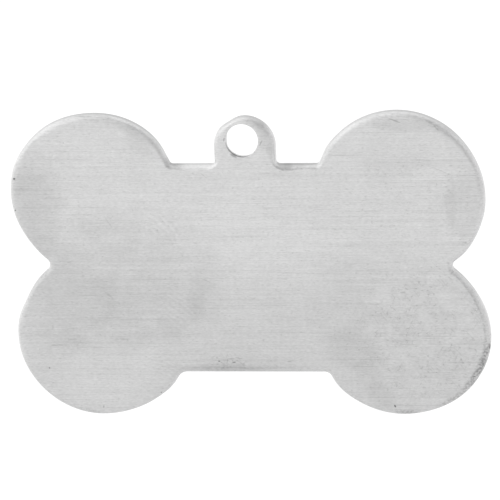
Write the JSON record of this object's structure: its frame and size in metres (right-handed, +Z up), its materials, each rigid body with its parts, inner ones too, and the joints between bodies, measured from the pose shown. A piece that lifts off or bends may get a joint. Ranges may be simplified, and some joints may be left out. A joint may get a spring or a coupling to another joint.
{
  "type": "pet id tag",
  "caption": "Bone-shaped flat metal pet tag blank with a round-topped tab and a hanging hole, for engraving and for a collar's split ring.",
  "frame": {"origin": "middle of the hanging hole, halfway through the sheet", "axes": "+X along the bone, +Y through the sheet from front to back, +Z up towards the tab as it hangs; the front face looks towards -Y"},
  "size_m": [0.0381, 0.0008, 0.0254],
  "materials": {
    "brushed_aluminium": "satin, brushed along the bone"
  },
  "bodies": {
    "root": {"tag_blank": "brushed_aluminium"}
  },
  "joints": []
}
